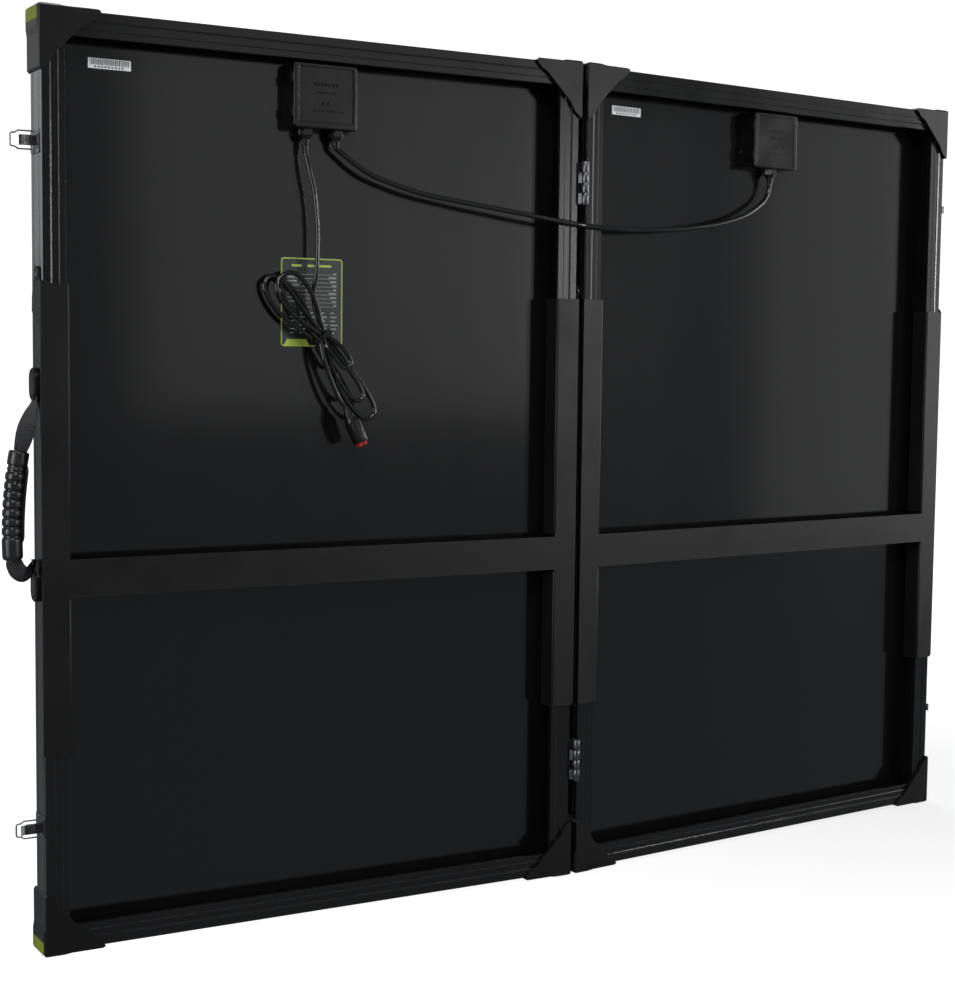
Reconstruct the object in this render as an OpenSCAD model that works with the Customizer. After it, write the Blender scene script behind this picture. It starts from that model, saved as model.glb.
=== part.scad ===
// Folding two-panel solar panel, unfolded and standing on its long edge.
// The left panel carries the frame of reference: it fills x < 0, its back is y = 0 and the floor is z = 0.
// Each panel is drawn in panel coordinates: u runs from the hinge side to the outer side,
// v runs from the back of the frame to the cell side and z runs up. a is a distance inward from its edge.

/* [Panels] */
// Width of one panel over its corner caps
panel_width = 679; // [669:1:689]
// Height of one panel over its corner caps
panel_height = 1016; // [1010:1:1022]
// Depth of the aluminium frame
frame_depth = 36.5; // [36:0.5:38]
// Columns of cells in one panel
cell_columns = 4; // [3:1:4]
// Rows of cells in one panel
cell_rows = 9; // [8:1:9]

/* [Fold] */
// Angle by which the two panels open past flat
over_open = 6.15; // [5:0.05:6.15]
// Radius of the hinge pin
hinge_pin_r = 2.2; // [2:0.1:2.5]
// Length of one butt hinge
hinge_length = 50; // [40:1:60]

/* [Kickstands] */
// Thickness of the bent sheet
sheet = 2; // [1.5:0.1:2]
// Height at which a kickstand leg ends
leg_foot_z = 218.5; // [215:0.5:230]
// Height of the lower edge of the crossbar
crossbar_z = 391; // [385:1:395]
// Height of the crossbar plate
crossbar_height = 41; // [35:1:45]
// Radius of the kickstand pivot
pivot_r = 4; // [3:0.5:4.5]

/* [Latches] */
// Length of the lever from its pivot
lever_length = 23.5; // [22:0.5:23.5]
// Height of the lever
lever_height = 11; // [10:0.5:11]
// Radius of the bail wire
bail_wire_r = 0.9; // [0.8:0.05:0.9]

/* [Handle] */
// Number of ribs on the grip
grip_ribs = 7; // [5:1:7]
// Radius of the ribs
rib_r = 10.9; // [10:0.1:11.5]

/* [Cables] */
// Radius of the output cable
lead_r = 2.6; // [2.4:0.1:2.6]
// Radius of the cable that links the two boxes
link_r = 3; // [2.8:0.1:3]

/* [Output] */
// Piece to draw, or all of them

/* [Hidden] */
$fn = 48;
cap_proud = 4;                          // caps stand this far off the frame
W = panel_width - 2*cap_proud;          // frame width
H = panel_height - 2*cap_proud;         // frame height
D = frame_depth;
z0 = cap_proud;                         // bottom face of the frame
z1 = z0 + H;                            // top face of the frame
axis_x = 6.6;                           // hinge axis, from the frame's hinge-side face
axis_y = -6;                            // hinge axis, behind the frame's back face
gap = 0.3;                              // gap between sheet and frame
run = 0.05;                             // running fit of a pin in its bore

// frame profile
wall = 1.8;
rail_chamfer = 1.3;                     // bevel along the rail's outer corners
lip_in = 9;                             // front lip, inward reach
lip = 1.6;                              // front lip thickness
slot_back = D - 6.2;                    // back face of the laminate
glass_t = 3.2;
slot_front = D - lip;
shelf = 1.6;
chamber_in = 10;                        // inside face of the chamber
chamber_out = 11.5;
flange_in = 26.5;                       // inward end of the back flange
flange_t = 1.6;

// laminate
cell_w = 157;
cell_h = 105;
cell_gap = 3;
cells_u = (W - cell_columns*cell_w - (cell_columns - 1)*cell_gap)/2;
cells_z = z0 + (H - cell_rows*cell_h - (cell_rows - 1)*cell_gap)/2;
sheet_v = [slot_back, slot_back + 0.8];
cell_v = [slot_back + 0.8, slot_back + 1.2];
ribbon_v = [slot_back + 1.2, slot_back + 1.4];
glass_v = [slot_back + 1.4, slot_back + 4.6];
laminate_in = 2.4;

// heights along the side faces
latch_zs = [874, 142];
hinge_zs = [868, 148];
pivot_v = 15;
pivot_z = 735;
anchor_zs = [619, 403];
anchor_v = 24;

// boxes
box_z = 946.5;
box_x_left = -339.5;
box_u_right = 334.5;
box_size = [79.5, 73.4];
box_back_v = 6;
gland_v = 17.5;
gland_z = 910.5;
gland_fit = 0.15;                       // clearance of a cable in its gland

// handle grip: an arc about an axis along v, placed from the outer side face
arc_r = 480;
arc_off = -452.9;
arc_z = 457.2;

// ---------- helpers ----------
// left panel: u runs toward -X
module to_left() mirror([1, 0, 0]) children();
// right panel: u runs toward +X, turned about the hinge axis
module to_right() translate([axis_x, axis_y, 0]) rotate([0, 0, over_open])
  translate([axis_x, -axis_y, 0]) children();
// a (u, z) outline extruded from v0 to v1
module slab(v0, v1) translate([0, v1, 0]) rotate([90, 0, 0]) linear_extrude(v1 - v0) children();
// a (v, z) outline on the outer side face, extruded outward
module on_outer(h, start = 0) translate([W + start, 0, 0]) rotate([90, 0, 90])
  linear_extrude(h) children();
// a (v, z) outline on the hinge-side face, extruded outward
module on_hinge_side(h, start = 0) mirror([1, 0, 0]) translate([start, 0, 0])
  rotate([90, 0, 90]) linear_extrude(h) children();
// both side faces
module both_sides() { children(); translate([W, 0, 0]) mirror([1, 0, 0]) children(); }
module box2(p, q) translate(p) square(q - p);
module box3(p, q) translate(p) cube(q - p);
// rounded rectangle centred on the origin
module pill(w, h, r) {
  square([w - 2*r, h], center = true);
  square([w, h - 2*r], center = true);
  for (x = [-1, 1], y = [-1, 1]) translate([x*(w/2 - r), y*(h/2 - r)]) circle(r);
}

// smooth curve through hand-placed points
function spline(p, i, t) = let (n = len(p) - 1, a = p[max(i - 1, 0)], b = p[i], c = p[i + 1],
  d = p[min(i + 2, n)]) 0.5*(2*b + (c - a)*t + (2*a - 5*b + 4*c - d)*t*t + (3*b - a - 3*c + d)*t*t*t);
function path(p, k) = [for (i = [0:len(p) - 2], j = [0:k - 1]) spline(p, i, j/k), p[len(p) - 1]];
function unit(v) = v/norm(v);
function along(c, i) = unit(c[min(i + 1, len(c) - 1)] - c[max(i - 1, 0)]);
// closed skin over rings of m points
module skin(rings) {
  n = len(rings);
  m = len(rings[0]);
  polyhedron(points = [for (r = rings, p = r) p],
    faces = concat([[for (j = [0:m - 1]) m - 1 - j]], [[for (j = [0:m - 1]) (n - 1)*m + j]],
      [for (i = [0:n - 2], j = [0:m - 1]) let (k = (j + 1) % m) [i*m + j, i*m + k, (i + 1)*m + j]],
      [for (i = [0:n - 2], j = [0:m - 1]) let (k = (j + 1) % m)
        [i*m + k, (i + 1)*m + k, (i + 1)*m + j]]), convexity = 6);
}
// round cord whose run stays near the xz plane
module cord(c, r, sides) skin([for (i = [0:len(c) - 1])
  let (t = along(c, i), s = unit(cross(t, [0, 1, 0])), w = cross(t, s))
    [for (j = [0:sides - 1]) c[i] + r*(cos(360*j/sides)*s + sin(360*j/sides)*w)]]);
// panel point to the shared frame, for the turned right panel
function on_right(p) = let (x = p[0] + axis_x, y = p[1] - axis_y)
  [axis_x + x*cos(over_open) - y*sin(over_open), axis_y + x*sin(over_open) + y*cos(over_open), p[2]];

// ---------- frame rails ----------
// rail section, drawn as (v, a)
module rail_section() difference() {
  polygon([[0, rail_chamfer], [rail_chamfer, 0], [6.4, 0], [6.7, 0.6], [7.3, 0.6], [7.6, 0], [27.4, 0],
    [27.7, 0.6], [28.3, 0.6], [28.6, 0], [D - rail_chamfer, 0], [D, rail_chamfer], [D, lip_in],
    [slot_front, lip_in], [slot_front, wall], [slot_back, wall],
    [slot_back, chamber_out], [flange_t + 1.6, chamber_out], [flange_t + 1.6, flange_in - 1.5],
    [8, flange_in - 1.5], [8, flange_in], [1.6, flange_in], [1.6, 19.8], [1.2, 19.5], [1.2, 19.2],
    [0.9, 19], [0.9, 11.4], [0.35, 11.4], [0, 9.6]]);
  box2([flange_t, wall], [slot_back - shelf, chamber_in]);
}
// one rail with mitred ends, its outer face on z = 0
module rail(len) intersection() {
  rotate([90, 0, 90]) linear_extrude(len) rail_section();
  slab(-1, D + 1) polygon([[0, 0], [len, 0], [len - 30, 30], [30, 30]]);
}
module rail_bottom() translate([0, 0, z0]) rail(W);
module rail_top() translate([0, 0, z1]) mirror([0, 0, 1]) rail(W);
// upright rail with the pivot hole and its rivet holes, outer face on u = 0
module rail_upright(holes) difference() {
  translate([0, 0, z0]) mirror([1, 0, -1]) rail(H);
  translate([-1, pivot_v, pivot_z]) rotate([0, 90, 0]) cylinder(h = 5, r = pivot_r + 0.1);
  for (h = holes) translate([-1, h[0], h[1]]) rotate([0, 90, 0]) cylinder(h = 5, r = 1.7);
}
hinge_holes = [for (z = hinge_zs, s = [-1, 1]) [17, z + s*15]];
latch_holes = [for (z = latch_zs, s = [-1, 1]) [22, z + s*9]];
catch_holes = [for (z = latch_zs, v = [9, 17]) [v, z]];
module rail_hinge() rail_upright(hinge_holes);
module rail_outer(holes) translate([W, 0, 0]) mirror([1, 0, 0]) rail_upright(holes);

module corners() for (i = [0, 1], j = [0, 1]) translate([i*W, 0, j ? z1 : z0])
  mirror([i, 0, 0]) mirror([0, 0, j]) children();
// angle pieces inside the chambers
module corner_keys() corners() {
  box3([2, 1.8, 2], [45, slot_back - shelf - 0.2, 9.8]);
  box3([2, 1.8, 2], [9.8, slot_back - shelf - 0.2, 45]);
}

// ---------- corner caps ----------
waist = 2.4;
module cap_edge(front) polygon(concat([[-4, 1], [1, -4], [20, -4], [27, -waist], [62, -waist], [65, 0]],
  front ? [[61, 9.5], [22, 9.5], [9.5, 22], [9.5, 61]] : [[57, 9], [47, 14.5], [14.5, 47], [9, 57]],
  [[0, 65], [-waist, 62], [-waist, 27], [-4, 20]]));
module cap_outline(front) { cap_edge(front); translate([1, 1]) circle(5); }
// (a, v) section that bevels a cap's long edges
module cap_bevel() polygon([[-1.6, -4], [80, -4], [80, D + 4], [-2, D + 4], [-4, D + 2], [-4, -1.2]]);
module corner_cap(accent) difference() {
  intersection() {
    union() {
      slab(-4, 0.01) cap_outline(false);
      slab(0, D + 4) cap_outline(true);
    }
    translate([0, 0, -5]) linear_extrude(80) cap_bevel();
    mirror([1, 0, -1]) translate([0, 0, -5]) linear_extrude(80) cap_bevel();
  }
  box3([0, 0, 0], [90, D, 90]);
  if (accent) box3([-5, -1.3, -1.5], [-3.2, D - 0.5, 12.5]);
}
module corner_caps() for (i = [0, 1], j = [0, 1]) translate([i*W, 0, j ? z1 : z0])
  mirror([i, 0, 0]) mirror([0, 0, j]) corner_cap(i == 1);
module cap_accents() for (j = [0, 1]) translate([W, 0, j ? z1 : z0]) mirror([1, 0, 0])
  mirror([0, 0, j]) box3([-4.1, -1.1, -1.3], [-3.2, D - 0.7, 12.3]);

// ---------- laminate ----------
module lam_plate(v) slab(v[0], v[1])
  box2([laminate_in, z0 + laminate_in], [W - laminate_in, z1 - laminate_in]);
module each_cell() for (i = [0:cell_columns - 1], j = [0:cell_rows - 1])
  translate([cells_u + i*(cell_w + cell_gap), cells_z + j*(cell_h + cell_gap)]) children();
module cells() slab(cell_v[0], cell_v[1]) each_cell() polygon([[4, 0], [cell_w - 4, 0], [cell_w, 4],
  [cell_w, cell_h - 4], [cell_w - 4, cell_h], [4, cell_h], [0, cell_h - 4], [0, 4]]);
module ribbon_lines() for (i = [0:cell_columns - 1], k = [1, 3, 5])
  translate([cells_u + i*(cell_w + cell_gap) + cell_w*k/6 - 0.8, z0 + 12]) square([1.6, H - 24]);
module ribbons() slab(ribbon_v[0], ribbon_v[1]) ribbon_lines();
module encapsulant() difference() {
  lam_plate([cell_v[0], ribbon_v[1]]);
  slab(cell_v[0] - 1, cell_v[1]) each_cell() polygon([[4, 0], [cell_w - 4, 0], [cell_w, 4],
    [cell_w, cell_h - 4], [cell_w - 4, cell_h], [4, cell_h], [0, cell_h - 4], [0, 4]]);
  slab(ribbon_v[0], ribbon_v[1] + 1) ribbon_lines();
}

// ---------- junction boxes (drawn about their own centre) ----------
module box_base(glands) difference() {
  union() {
    slab(slot_back - 2, slot_back) {
      square([box_size[0] + 3, box_size[1] + 3], center = true);
      // two humps on each side: a wide one above, a flat one below
      for (x = [-1, 1]) {
        translate([x*(box_size[0]/2 - 6), 25]) circle(12);
        translate([x*(box_size[0]/2 - 10), -20]) circle(13);
      }
    }
    slab(box_back_v + 4.5, slot_back - 1) square([78, 71.5], center = true);
  }
  slab(box_back_v, slot_back - 2.2) square([74, 67.5], center = true);
  for (x = glands) translate([x, gland_v, -40]) cylinder(h = 12, r = 6.1);
}
module box_lid() {
  difference() {
    slab(box_back_v, box_back_v + 4.5) pill(box_size[0], box_size[1], 3);
    slab(box_back_v - 1, box_back_v + 1) translate([-0.25, 1.25])
      pill(box_size[0] - 10.5, box_size[1] - 12.5, 2);
  }
  difference() {
    slab(box_back_v + 4, box_back_v + 10) square([73.6, 67.1], center = true);
    slab(box_back_v + 4, box_back_v + 11) square([70.6, 64.1], center = true);
    for (x = [-20.5, 17.5, 0]) translate([x, gland_v, -40]) cylinder(h = 12, r = 8);
  }
  // snap clips that grip the sides
  for (x = [-1, 1], z = [-19, 19])
    box3([x*40.4 - 1.3, box_back_v + 2, z - 5], [x*40.4 + 1.3, box_back_v + 12, z + 5]);
}
module box_terminals() for (i = [-1.5:1:1.5]) translate([i*15, 0, 4]) {
  slab(slot_back - 3.5, slot_back - 2.2) square([9, 34], center = true);
  translate([0, slot_back - 3, 8]) rotate([90, 0, 0]) cylinder(h = 5, r = 3);
}
module gland(bore) difference() {
  union() {
    translate([0, 0, -8]) cylinder(h = 7, d = 18.4, $fn = 6);
    translate([0, 0, -12.5]) cylinder(h = 5, r1 = 5.6, r2 = 7.6);
    translate([0, 0, -2]) cylinder(h = 5.2, r = 6);
  }
  translate([0, 0, -14]) cylinder(h = 20, r = bore);
}
module at_box_left() translate([box_x_left, 0, box_z]) children();
module at_box_right() to_right() translate([box_u_right, 0, box_z]) children();

// ---------- hinges ----------
knuckle = hinge_length/4;
// leaf for one panel; first = 0 starts with the lowest knuckle
module hinge_leaf(first) for (z = hinge_zs) translate([0, 0, z - hinge_length/2]) difference() {
  union() {
    on_hinge_side(1.8) box2([1, 0], [27, hinge_length]);
    for (k = [first, first + 2]) translate([0, 0, k*knuckle + 0.1]) {
      translate([-axis_x, axis_y, 0]) cylinder(h = knuckle - 0.2, r = 4.5);
      linear_extrude(knuckle - 0.2) polygon([[0, 1.2], [0, -0.4], [-4.6, -9.6], [-9.4, -3.5], [-1.8, 8],
        [-1.2, 8], [-1.2, 1.2]]);
    }
  }
  translate([-axis_x, axis_y, -1]) cylinder(h = hinge_length + 2, r = hinge_pin_r + run);
  for (s = [-1, 1]) translate([-3, 17, hinge_length/2 + s*15]) rotate([0, 90, 0])
    cylinder(h = 4, r = 1.7);
}
module hinge_pins() for (z = hinge_zs) translate([axis_x, axis_y, z]) {
  translate([0, 0, -hinge_length/2 - 1]) cylinder(h = hinge_length + 2, r = hinge_pin_r);
  for (s = [-1, 1]) translate([0, 0, s*(hinge_length/2 + 0.7) - 0.5]) cylinder(h = 1, r = 3.6);
}
// rivet through a plate of thickness t into an upright rail, on u = 0
module rivet(t, v, z) translate([0, v, z]) rotate([0, 90, 0]) {
  translate([0, 0, -t - 1]) cylinder(h = 1, r1 = 2.2, r2 = 2.8);
  translate([0, 0, -t - 0.5]) cylinder(h = t + wall + 1, r = 1.6);
  translate([0, 0, wall + 0.1]) cylinder(h = 1.2, r = 2.6);
}
module rivets(outer_holes, t) {
  for (h = hinge_holes) rivet(1.8, h[0], h[1]);
  translate([W, 0, 0]) mirror([1, 0, 0]) for (h = outer_holes) rivet(t, h[0], h[1]);
}

// ---------- kickstands ----------
// leg section (a, v) inward of the outer flange edge
module leg_bend() {
  intersection() {
    difference() { translate([26.7, 0.2]) circle(2.5); translate([26.7, 0.2]) circle(0.5); }
    box2([26.7, -2.3], [29.2, 0.2]);
  }
  box2([27.2, 0.2], [29.2, 23]);
}
module leg() {
  slab(-0.3 - sheet, -0.3) difference() {
    box2([-2.3, leg_foot_z], [26.7, 726]);
    translate([-2.3, leg_foot_z]) rotate(45) square([4, 4], center = true);
  }
  translate([0, 0, leg_foot_z]) linear_extrude(crossbar_z - 3 - leg_foot_z) leg_bend();
  translate([0, 0, crossbar_z + crossbar_height + 3])
    linear_extrude(726 - crossbar_z - crossbar_height - 3) leg_bend();
  difference() {
    on_hinge_side(sheet, gap) {
      polygon([[-2.3, 676], [0, 676], [30, 697], [29, 712], [24, 735], [6, 735], [-2.3, 726]]);
      translate([pivot_v, pivot_z]) circle(9);
    }
    translate([-5, pivot_v, pivot_z]) rotate([0, 90, 0]) cylinder(h = 6, r = pivot_r + run);
  }
}
module kickstand() {
  both_sides() leg();
  slab(-0.3 - sheet, -0.3) {
    box2([26, crossbar_z], [W - 26, crossbar_z + crossbar_height]);
    for (x = [26.6, W - 26.6], z = [crossbar_z - 2.9, crossbar_z + crossbar_height - 0.1])
      translate([x - 1, z]) square([2, 3]);
  }
}
module kickstand_pivots() both_sides() translate([0, pivot_v, pivot_z]) rotate([0, 90, 0]) {
  translate([0, 0, -4.2]) cylinder(h = 1.8, r1 = 5.6, r2 = 7);
  translate([0, 0, -3]) cylinder(h = 3 + wall + 1, r = pivot_r);
  translate([0, 0, wall + 0.1]) cylinder(h = 1.4, r = 6);
}

// ---------- latches (panel coordinates, outer side face) ----------
latch_off = 3.2;                        // lever pivot, off the side face
latch_v = 5;
bail_arm = 4;                           // bail pivot, outboard of the lever pivot
bail_length = 24;
bail_half = 0.8;                        // half thickness of the bail's ring
bail_rim = 1.8;                         // width of the ring's rim
module latch_base() difference() {
  union() {
    on_outer(1.2) translate([18, 0]) pill(31, 24, 3);
    for (s = [-1, 1]) translate([0, 0, s*6.5 - 0.8]) linear_extrude(1.6) {
      box2([W + 1, latch_v - 2.6], [W + latch_off, latch_v + 2.6]);
      translate([W + latch_off, latch_v]) circle(2.6);
    }
    translate([W + latch_off, latch_v, -7]) cylinder(h = 14, r = 1.25);
  }
  for (s = [-1, 1]) translate([W - 1, 22, s*9]) rotate([0, 90, 0]) cylinder(h = 4, r = 1.7);
}
module latch_lever() difference() {
  translate([0, 0, -lever_height/2]) linear_extrude(lever_height) {
    translate([W + latch_off, latch_v]) circle(1.9);
    box2([W + latch_off, latch_v - 1.6], [W + latch_off + lever_length - 4, latch_v + 1.6]);
    polygon([[W + latch_off + lever_length - 5, latch_v + 1.6],
      [W + latch_off + lever_length - 5, latch_v - 1.6], [W + latch_off + lever_length, latch_v - 4],
      [W + latch_off + lever_length, latch_v - 2]]);
  }
  translate([W + latch_off, latch_v, -9]) cylinder(h = 18, r = 1.25 + run);
  translate([W + latch_off + bail_arm, latch_v, -9]) cylinder(h = 18, r = bail_wire_r + run);
}
// outline (u, z) of the ring: parallel arms that narrow toward the outer end
module bail_outline(inset) {
  w = 10.4 - inset;
  n = 7.4 - inset;
  e = bail_length + 0.9 - inset;
  s = 18.2 - inset/2;
  polygon([[-0.7 - inset, w], [s, w], [s + 2.6, n], [e, n - 0.4], [e, 0.4 - n], [s + 2.6, -n], [s, -w],
    [-0.7 - inset, -w]]);
}
module latch_bail() translate([W + latch_off + bail_arm, latch_v, 0]) {
  slab(-bail_half, bail_half) difference() { bail_outline(0); bail_outline(bail_rim); }
  for (s = [0, 1]) mirror([0, 0, s]) translate([0, 0, 3]) cylinder(h = 6.5, r = bail_wire_r);
}
module latch_catches() for (z = latch_zs) translate([0, 0, z]) difference() {
  union() {
    on_outer(1.5) box2([0.3, -5], [22, 5]);
    on_outer(4.2) box2([0.3, -5], [1.9, 5]);
  }
  for (v = [9, 17]) translate([W - 1, v, 0]) rotate([0, 90, 0]) cylinder(h = 4, r = 1.7);
}

// ---------- handle ----------
strap_off = 2;                          // strap's mid-plane in the anchors, off the side face
module oval(r) { box2([-r, -6], [r, 6]); for (s = [-6, 6]) translate([0, s]) circle(r); }
module handle_anchors() for (i = [0, 1]) translate([0, anchor_v, anchor_zs[i]]) difference() {
  union() {
    on_outer(3.4) oval(12);
    on_outer(4.6) oval(11);
  }
  on_outer(2, 4) difference() { oval(8.6); oval(7.2); }
  translate([W + 0.6, -10.5, i == 0 ? -20 : -3]) cube([3, 21, 23]);
  // round relief along the line that the strap flexes about
  translate([W + strap_off, 0, i == 0 ? -20 : -3]) cylinder(h = 23, r = 1.9);
}
// ring about the grip's arc between two angles
module arc_ring(a0, a1, r0, r1) translate([W + arc_off, anchor_v, arc_z]) rotate([90, 0, 0])
  rotate([0, 0, a0]) rotate_extrude(angle = a1 - a0, $fn = 96) translate([arc_r, 0])
    difference() { circle(r1, $fn = 48); circle(r0, $fn = 48); }
module handle_grip() {
  arc_ring(-3, 10.9, 6.2, 8.6);
  arc_ring(9, 10.8, 8.1, 10.4);
  arc_ring(8.35, 8.65, 8.1, 9.4);
  for (i = [0:grip_ribs - 1]) arc_ring(0.2 + 1.165*i, 1.04 + 1.165*i, 8.1, rib_r);
  arc_ring(-2.9, -0.3, 8.1, 10.4);
}
// strap route: offset from the side face, height, width, twist of the width out of v
strap_route = [[strap_off, 620, 20, 0], [strap_off, 610, 20, 0], [strap_off, 601, 20, 0],
  [3.4, 595, 20, 12], [7.6, 584, 18, 38], [11, 573, 18.5, 62], [13, 564, 19, 74], [15.2, 556, 17, 80],
  [17.2, 549, 11, 82], [19, 542, 10.5, 82], [22.8, 520, 10.5, 80], [25.7, 490, 10.5, 80],
  [27.1, 457, 10.5, 80], [26.6, 440, 10.5, 80], [25.8, 434, 12, 80], [25, 428, 18, 78],
  [21.4, 420, 19.5, 70], [15, 415.5, 20, 50], [9.4, 419, 20, 30], [6.6, 427, 20, 8], [4.2, 431, 20, 0],
  [strap_off, 427, 20, 0], [strap_off, 421, 20, 0], [strap_off, 411, 20, 0], [strap_off, 402, 20, 0]];
module handle_webbing() {
  s = path(strap_route, 3);
  c = [for (q = s) [W + q[0], anchor_v, q[1]]];
  skin([for (i = [0:len(c) - 1]) let (t = along(c, i), n = unit(cross(t, [0, 1, 0])),
      w = cos(s[i][3])*[0, 1, 0] + sin(s[i][3])*n, k = cross(t, w)*0.8, h = w*s[i][2]/2)
    [c[i] - h - k, c[i] + h - k, c[i] + h + k, c[i] - h + k]]);
}

// ---------- labels ----------
module rating_label() translate([-345.4, 0, 714]) slab(slot_back - 0.25, slot_back) pill(78.4, 102, 4);
module serial_label(u, z) slab(slot_back - 0.15, slot_back) box2([u, z], [u + 48, z + 11]);

// ---------- cables ----------
lead_route = [[-360, 17.5, 913], [-360, 17.5, 905], [-360, 17.5, 897], [-360, 17.5, 890],
  [-359.5, 16.5, 880], [-356, 13.8, 862], [-350.5, 12.8, 838], [-347, 12.7, 804], [-346.5, 12.7, 778],
  [-347, 13.5, 752], [-348.5, 16, 736], [-349, 17.5, 728]];
// folded hank: its long axis runs down and away from the backsheet
hank_centre = [-342, 11, 674];
hank_turn = 55;                         // long axis below the level
hank_tilt = 7.4;                        // long axis out of the panel's plane
hank_half = 6.5;
tie_half = 11.8;
module at_hank() translate(hank_centre) rotate([0, hank_turn, 0]) rotate([0, 0, -hank_tilt]) children();
module lobe(c, a, b) translate(c) polygon([for (t = [0:15:345]) [a*cos(t), b*sin(t)]]);
module cable_hank() at_hank() slab(-hank_half, hank_half) {
  lobe([-48, -3.5], 42, 23.5);
  lobe([58, -6.5], 52, 16);
  box2([-48, -10.5], [58, 8]);
}
module cable_tie() at_hank() {
  difference() {
    box3([-2.4, -hank_half - 1.7, -tie_half - 1.4], [2.4, hank_half + 1.7, tie_half + 1.4]);
    box3([-3, -hank_half - 0.3, -tie_half], [3, hank_half + 0.3, tie_half]);
  }
  box3([-3.2, -hank_half - 4.6, 2], [3.2, -hank_half - 1.6, 9]);
}
// connector on the loose end, pointing down
module at_connector() translate([-314, -0.5, 590]) rotate([0, 67.2, 0]) rotate([0, 0, -6.6]) children();
module connector_body() at_connector() difference() {
  union() {
    slab(-7, 7) translate([24, 0]) square([32, 16], center = true);
    rotate([0, 90, 0]) cylinder(h = 9, r1 = 4, r2 = 6);
  }
  box3([26, -5.5, -6.3], [41, 5.5, 6.3]);
}
module connector_tip() at_connector() slab(-5.3, 5.3) box2([27, -6.1], [44, 6.1]);
link_route = [[-322, 17.5, 913], [-322, 17.5, 905], [-322, 17.5, 898], [-321.4, 17.3, 892.6],
  [-318.4, 16.8, 888], [-310, 15.6, 881.8], [-295, 14, 871.3], [-275, 12.5, 861.1], [-245, 10.4, 851.7],
  [-210, 8, 843.4], [-160, 3, 836.2], [-115, -0.8, 830.6], [-62, -3.4, 824.1], [-29, -3.6, 820.2],
  [0, -3.8, 817], on_right([0, -3.8, 816.2]), on_right([22, -3.6, 815.3]),
  on_right([50, -3.4, 815]), on_right([84, -1.5, 815.5]), on_right([150, 1.5, 819.6]),
  on_right([190, 4, 824.4]), on_right([238, 8, 832.3]), on_right([285, 12, 845.5]),
  on_right([317, 15.5, 862.3]), on_right([326, 16.5, 870]), on_right([332.2, 17.2, 879.5]),
  on_right([334.4, 17.5, 889]), on_right([334.5, 17.5, 898]), on_right([334.5, 17.5, 905]),
  on_right([334.5, 17.5, 913])];

// ---------- pieces ----------
black = [0.10, 0.10, 0.11];
dark = [0.16, 0.16, 0.17];
grey = [0.23, 0.23, 0.24];
metal = [0.70, 0.71, 0.72];
lime = [0.66, 0.74, 0.16];

module left_rail_top() color(grey) to_left() rail_top();
module left_rail_bottom() color(grey) to_left() rail_bottom();
module left_rail_outer() color(grey) to_left() rail_outer(latch_holes);
module left_rail_hinge() color(grey) to_left() rail_hinge();
module right_rail_top() color(grey) to_right() rail_top();
module right_rail_bottom() color(grey) to_right() rail_bottom();
module right_rail_outer() color(grey) to_right() rail_outer(catch_holes);
module right_rail_hinge() color(grey) to_right() rail_hinge();
module left_corner_keys() color(metal) to_left() corner_keys();
module right_corner_keys() color(metal) to_right() corner_keys();
module left_corner_caps() color(black) to_left() corner_caps();
module right_corner_caps() color(black) to_right() corner_caps();
module left_cap_accents() color(lime) to_left() cap_accents();
module right_cap_accents() color(lime) to_right() cap_accents();
module left_glass() color([0.5, 0.6, 0.7, 0.3]) to_left() lam_plate(glass_v);
module right_glass() color([0.5, 0.6, 0.7, 0.3]) to_right() lam_plate(glass_v);
module left_cells() color([0.05, 0.06, 0.12]) to_left() cells();
module right_cells() color([0.05, 0.06, 0.12]) to_right() cells();
module left_ribbons() color(metal) to_left() ribbons();
module right_ribbons() color(metal) to_right() ribbons();
module left_encapsulant() color(black) to_left() encapsulant();
module right_encapsulant() color(black) to_right() encapsulant();
module left_backsheet() color(dark) to_left() lam_plate(sheet_v);
module right_backsheet() color(dark) to_right() lam_plate(sheet_v);
module left_box_base() color(black) at_box_left() box_base([-20.5, 17.5]);
module right_box_base() color(black) at_box_right() box_base([0]);
module left_box_lid() color(black) at_box_left() box_lid();
module right_box_lid() color(black) at_box_right() box_lid();
module left_box_terminals() color([0.8, 0.65, 0.3]) at_box_left() box_terminals();
module right_box_terminals() color([0.8, 0.65, 0.3]) at_box_right() box_terminals();
module left_box_glands() color(black) {
  translate([box_x_left - 20.5, gland_v, gland_z]) gland(lead_r + gland_fit);
  translate([box_x_left + 17.5, gland_v, gland_z]) gland(link_r + gland_fit);
}
module right_box_gland() color(black) to_right()
  translate([box_u_right, gland_v, gland_z]) gland(link_r + gland_fit);
module left_serial_label() color([0.9, 0.9, 0.9]) translate([-610, 0, 0]) serial_label(0, 958);
module right_serial_label() color([0.9, 0.9, 0.9]) to_right() serial_label(65, 961.5);
module left_hinge_leaves() color(metal) to_left() hinge_leaf(0);
module right_hinge_leaves() color(metal) to_right() hinge_leaf(1);
module left_rivets() color(metal) to_left() rivets(latch_holes, 1.2);
module right_rivets() color(metal) to_right() rivets(catch_holes, 1.5);
module left_kickstand_pivots() color(dark) to_left() kickstand_pivots();
module right_kickstand_pivots() color(dark) to_right() kickstand_pivots();
module kickstand_left() color(dark) to_left() kickstand();
module kickstand_right() color(dark) to_right() kickstand();
module hinge_pins_all() color(metal) hinge_pins();
module latch_bases() color(metal) to_left() for (z = latch_zs) translate([0, 0, z]) latch_base();
module latch_catches_all() color(metal) to_right() latch_catches();
module lever_at(z) color(black) to_left() translate([0, 0, z]) latch_lever();
module bail_at(z) color(metal) to_left() translate([0, 0, z]) latch_bail();
module handle_anchors_all() color(black) to_left() handle_anchors();
module handle_webbing_all() color(dark) to_left() handle_webbing();
module handle_grip_all() color(dark) to_left() handle_grip();
module rating_label_all() color(black) rating_label();
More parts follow.
